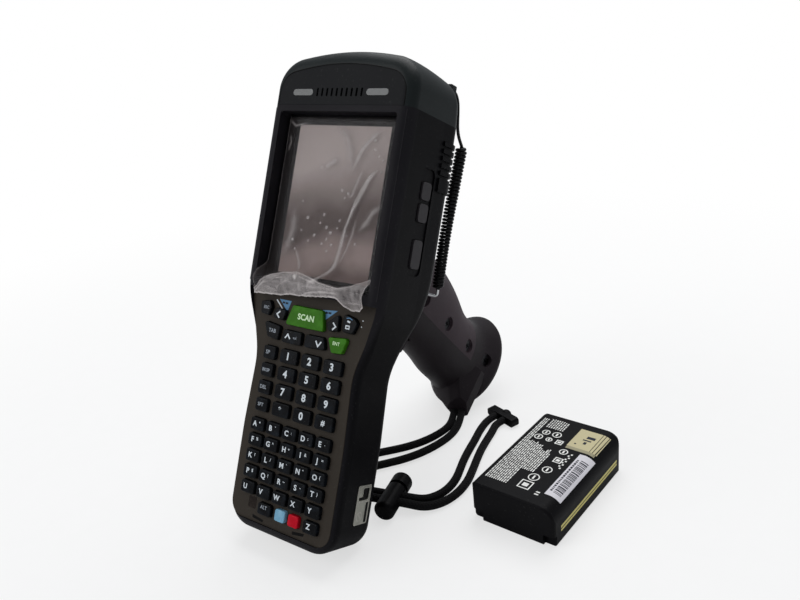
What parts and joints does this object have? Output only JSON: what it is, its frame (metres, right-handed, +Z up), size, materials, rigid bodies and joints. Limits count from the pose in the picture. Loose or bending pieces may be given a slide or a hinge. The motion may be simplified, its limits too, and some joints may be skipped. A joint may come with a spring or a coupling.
{
  "type": "portable barcode data terminal",
  "caption": "Handheld barcode data terminal with touch display, full keypad and pistol grip, leaning on its heel and foot; lanyard, stylus tether coil and loose battery pack.",
  "frame": {"origin": "middle of the flat under the heel, the terminal's lower back edge, on the surface that it stands on", "axes": "+Z up, +Y away from the keypad's side towards the grip's foot, +X to the right of someone facing the display"},
  "size_m": [0.1575, 0.2011, 0.2171],
  "materials": {
    "housing_black": "fine matt texture with a faint green-grey sheen",
    "grip_grey": "matt dark grey plastic with a fine grain",
    "plate_brown": "satin brown-grey",
    "key_black": "glossy blue-black with white legends",
    "key_green": "glossy green with white legends",
    "key_blue": "glossy light blue",
    "key_red": "glossy red",
    "panel_black": "satin black",
    "lens_grey": "pale translucent grey",
    "glass": "clear, black border behind it",
    "display": "dark, unlit",
    "film": "thin clear film with wrinkles",
    "mat_rubber": "matt",
    "board_green": "circuit board green",
    "metal_plate": "brushed, grey-green",
    "steel": "blackened steel",
    "button_grey": "matt dark grey",
    "cord_black": "black woven cord",
    "coil_black": "black coiled lead",
    "battery_black": "matt black with blank labels",
    "gold": "gold-plated"
  },
  "bodies": {
    "terminal": {"front_housing": "housing_black", "rear_housing": "housing_black", "head_cap": "housing_black", "head_panel": "panel_black", "status_lights": "lens_grey", "touch_glass": "glass", "display_module": "display", "protective_film": "film", "keypad_plate": "plate_brown", "keypad_mat": "mat_rubber", "main_board": "board_green", "speaker": "steel", "scan_engine": "panel_black", "scan_window": "glass", "side_port_plate": "metal_plate", "dock_connector": "panel_black", "housing_screws": "steel", "grip_front_shell": "grip_grey", "grip_back_shell": "grip_grey", "grip_foot": "grip_grey", "trigger_pin": "steel", "lanyard_strand_left": "cord_black", "lanyard_strand_right": "cord_black", "cord_lock_barrel": "panel_black", "lanyard_end_clip": "panel_black", "tether_lead": "coil_black", "tether_coil": "coil_black", "tether_pin": "steel"},
    "side_button_upper": {"side_button_upper": "button_grey"},
    "side_button_middle": {"side_button_middle": "button_grey"},
    "side_button_lower": {"side_button_lower": "button_grey"},
    "key_escape": {"key_escape": "key_black"},
    "key_left": {"key_left": "key_black"},
    "key_scan": {"key_scan": "key_green"},
    "key_right": {"key_right": "key_black"},
    "key_power": {"key_power": "key_black"},
    "key_tab": {"key_tab": "key_black"},
    "key_up": {"key_up": "key_black"},
    "key_down": {"key_down": "key_black"},
    "key_enter": {"key_enter": "key_green"},
    "function_keys": {"function_keys": "key_black"},
    "digit_keys_123": {"digit_keys_123": "key_black"},
    "digit_keys_456": {"digit_keys_456": "key_black"},
    "digit_keys_789": {"digit_keys_789": "key_black"},
    "digit_keys_row0": {"digit_keys_row0": "key_black"},
    "letter_keys_a_to_e": {"letter_keys_a_to_e": "key_black"},
    "letter_keys_f_to_j": {"letter_keys_f_to_j": "key_black"},
    "letter_keys_k_to_o": {"letter_keys_k_to_o": "key_black"},
    "letter_keys_p_to_t": {"letter_keys_p_to_t": "key_black"},
    "letter_keys_u_to_y": {"letter_keys_u_to_y": "key_black"},
    "bottom_keys": {"bottom_keys": "key_black"},
    "key_blue": {"key_blue": "key_blue"},
    "key_red": {"key_red": "key_red"},
    "battery_door": {"battery_door": "housing_black"},
    "door_latch": {"door_latch": "housing_black"},
    "trigger": {"trigger": "grip_grey"},
    "cord_lock_plunger": {"cord_lock_plunger": "panel_black"},
    "battery": {"battery_case": "battery_black", "battery_end_cap": "battery_black", "battery_contacts": "gold"}
  },
  "joints": [
    {"name": "side_button_upper_press", "type": "slide", "parent": "terminal", "child": "side_button_upper", "axis": [-1, 0, 0], "range_m": [0, 0.0008], "stiffness_N_per_m": 600},
    {"name": "side_button_middle_press", "type": "slide", "parent": "terminal", "child": "side_button_middle", "axis": [-1, 0, 0], "range_m": [0, 0.0008], "stiffness_N_per_m": 600},
    {"name": "side_button_lower_press", "type": "slide", "parent": "terminal", "child": "side_button_lower", "axis": [-1, 0, 0], "range_m": [0, 0.0008], "stiffness_N_per_m": 600},
    {"name": "key_escape_press", "type": "slide", "parent": "terminal", "child": "key_escape", "axis": [0, 0.8988, -0.4384], "range_m": [0, 0.0007], "stiffness_N_per_m": 600},
    {"name": "key_left_press", "type": "slide", "parent": "terminal", "child": "key_left", "axis": [0, 0.8988, -0.4384], "range_m": [0, 0.0007], "stiffness_N_per_m": 600},
    {"name": "key_scan_press", "type": "slide", "parent": "terminal", "child": "key_scan", "axis": [0, 0.8988, -0.4384], "range_m": [0, 0.0007], "stiffness_N_per_m": 600},
    {"name": "key_right_press", "type": "slide", "parent": "terminal", "child": "key_right", "axis": [0, 0.8988, -0.4384], "range_m": [0, 0.0007], "stiffness_N_per_m": 600},
    {"name": "key_power_press", "type": "slide", "parent": "terminal", "child": "key_power", "axis": [0, 0.8988, -0.4384], "range_m": [0, 0.0007], "stiffness_N_per_m": 600},
    {"name": "key_tab_press", "type": "slide", "parent": "terminal", "child": "key_tab", "axis": [0, 0.8988, -0.4384], "range_m": [0, 0.0007], "stiffness_N_per_m": 600},
    {"name": "key_up_press", "type": "slide", "parent": "terminal", "child": "key_up", "axis": [0, 0.8988, -0.4384], "range_m": [0, 0.0007], "stiffness_N_per_m": 600},
    {"name": "key_down_press", "type": "slide", "parent": "terminal", "child": "key_down", "axis": [0, 0.8988, -0.4384], "range_m": [0, 0.0007], "stiffness_N_per_m": 600},
    {"name": "key_enter_press", "type": "slide", "parent": "terminal", "child": "key_enter", "axis": [0, 0.8988, -0.4384], "range_m": [0, 0.0007], "stiffness_N_per_m": 600},
    {"name": "function_keys_press", "type": "slide", "parent": "terminal", "child": "function_keys", "axis": [0, 0.8988, -0.4384], "range_m": [0, 0.0007], "stiffness_N_per_m": 600},
    {"name": "digit_keys_123_press", "type": "slide", "parent": "terminal", "child": "digit_keys_123", "axis": [0, 0.8988, -0.4384], "range_m": [0, 0.0007], "stiffness_N_per_m": 600},
    {"name": "digit_keys_456_press", "type": "slide", "parent": "terminal", "child": "digit_keys_456", "axis": [0, 0.8988, -0.4384], "range_m": [0, 0.0007], "stiffness_N_per_m": 600},
    {"name": "digit_keys_789_press", "type": "slide", "parent": "terminal", "child": "digit_keys_789", "axis": [0, 0.8988, -0.4384], "range_m": [0, 0.0007], "stiffness_N_per_m": 600},
    {"name": "digit_keys_row0_press", "type": "slide", "parent": "terminal", "child": "digit_keys_row0", "axis": [0, 0.8988, -0.4384], "range_m": [0, 0.0007], "stiffness_N_per_m": 600},
    {"name": "letter_keys_a_to_e_press", "type": "slide", "parent": "terminal", "child": "letter_keys_a_to_e", "axis": [0, 0.8988, -0.4384], "range_m": [0, 0.0007], "stiffness_N_per_m": 600},
    {"name": "letter_keys_f_to_j_press", "type": "slide", "parent": "terminal", "child": "letter_keys_f_to_j", "axis": [0, 0.8988, -0.4384], "range_m": [0, 0.0007], "stiffness_N_per_m": 600},
    {"name": "letter_keys_k_to_o_press", "type": "slide", "parent": "terminal", "child": "letter_keys_k_to_o", "axis": [0, 0.8988, -0.4384], "range_m": [0, 0.0007], "stiffness_N_per_m": 600},
    {"name": "letter_keys_p_to_t_press", "type": "slide", "parent": "terminal", "child": "letter_keys_p_to_t", "axis": [0, 0.8988, -0.4384], "range_m": [0, 0.0007], "stiffness_N_per_m": 600},
    {"name": "letter_keys_u_to_y_press", "type": "slide", "parent": "terminal", "child": "letter_keys_u_to_y", "axis": [0, 0.8988, -0.4384], "range_m": [0, 0.0007], "stiffness_N_per_m": 600},
    {"name": "bottom_keys_press", "type": "slide", "parent": "terminal", "child": "bottom_keys", "axis": [0, 0.8988, -0.4384], "range_m": [0, 0.0007], "stiffness_N_per_m": 600},
    {"name": "key_blue_press", "type": "slide", "parent": "terminal", "child": "key_blue", "axis": [0, 0.8988, -0.4384], "range_m": [0, 0.0007], "stiffness_N_per_m": 600},
    {"name": "key_red_press", "type": "slide", "parent": "terminal", "child": "key_red", "axis": [0, 0.8988, -0.4384], "range_m": [0, 0.0007], "stiffness_N_per_m": 600},
    {"name": "battery_door_hinge", "type": "hinge", "parent": "terminal", "child": "battery_door", "pos_m": [0, 0.00568, 0.00626], "axis": [-1, 0, 0], "range_deg": [0, 40]},
    {"name": "door_latch_slide", "type": "slide", "parent": "battery_door", "child": "door_latch", "axis": [0, -0.4384, -0.8988], "range_m": [0, 0.0025]},
    {"name": "trigger_pull", "type": "hinge", "parent": "terminal", "child": "trigger", "pos_m": [0, 0.07089, 0.09226], "axis": [1, 0, 0], "range_deg": [0, 10], "stiffness_Nm_per_rad": 0.5},
    {"name": "cord_lock_press", "type": "slide", "parent": "terminal", "child": "cord_lock_plunger", "axis": [0.225, -0.9744, 0], "range_m": [0, 0.0018], "stiffness_N_per_m": 600},
    {"name": "battery_lift", "type": "slide", "parent": "terminal", "child": "battery", "axis": [0, 0, 1], "range_m": [0, 0.1]}
  ]
}
